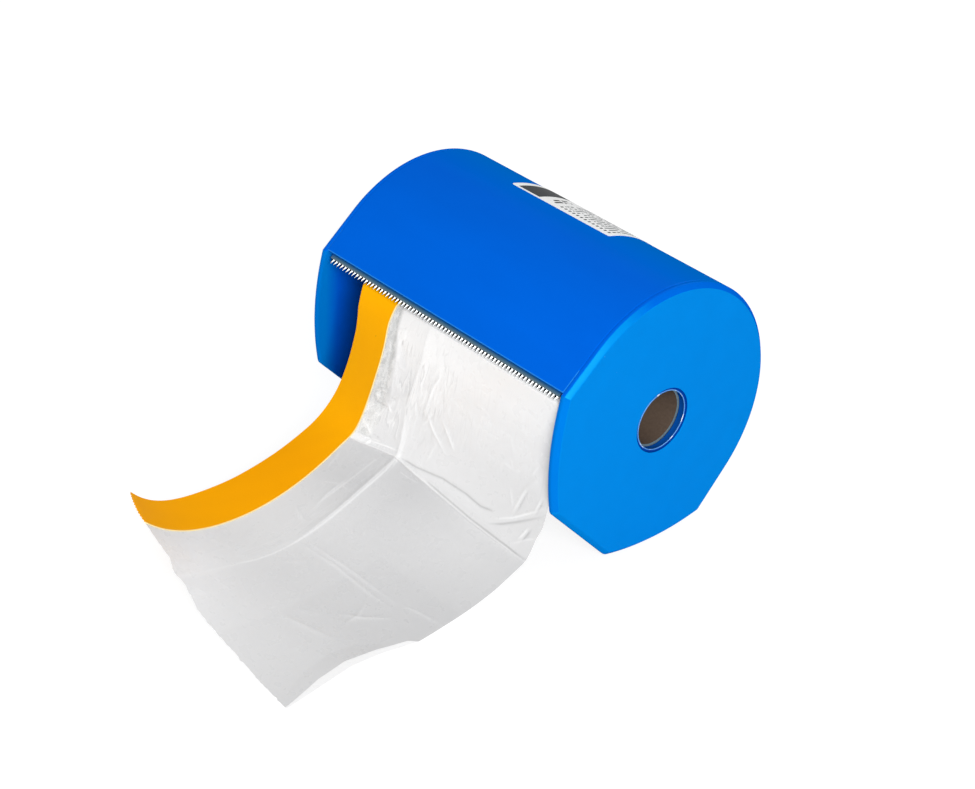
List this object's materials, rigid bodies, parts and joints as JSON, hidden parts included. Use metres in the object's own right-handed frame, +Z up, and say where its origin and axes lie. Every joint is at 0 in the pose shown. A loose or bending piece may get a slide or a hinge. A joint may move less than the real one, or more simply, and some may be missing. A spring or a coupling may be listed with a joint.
{
  "type": "masking film dispenser",
  "caption": "Counter dispenser for masking film with tape along one edge: half-drum cover, push-on end caps, serrated cutter, turning cardboard core and a pulled-out web.",
  "frame": {"origin": "middle of the core's bore, on the roll axis", "axes": "+X along the roll axis to the right end cap, +Y to the back, +Z up; the web leaves toward -Y"},
  "size_m": [0.153, 0.2468, 0.1205],
  "materials": {
    "cover_plastic": "smooth moulded",
    "cap_plastic": "smooth moulded",
    "blade_steel": "rolled strip",
    "core_card": "plain cardboard",
    "film": "thin folded film",
    "tape": "smooth paper tape",
    "label_paper": "printed paper"
  },
  "bodies": {
    "housing": {"cover_shell": "cover_plastic", "left_end_cap": "cap_plastic", "cutter_blade": "blade_steel", "film_web": "film", "tape_strip": "tape", "label": "label_paper"},
    "roll": {"core_tube": "core_card", "film_roll": "film", "tape_roll": "tape"},
    "cap": {"right_end_cap": "cap_plastic"}
  },
  "joints": [
    {"name": "roll_spin", "type": "hinge", "parent": "housing", "child": "roll", "pos_m": [0, 0, 0], "axis": [1, 0, 0], "continuous": true},
    {"name": "cap_release", "type": "slide", "parent": "housing", "child": "cap", "axis": [1, 0, 0], "range_m": [0, 0.06]}
  ]
}
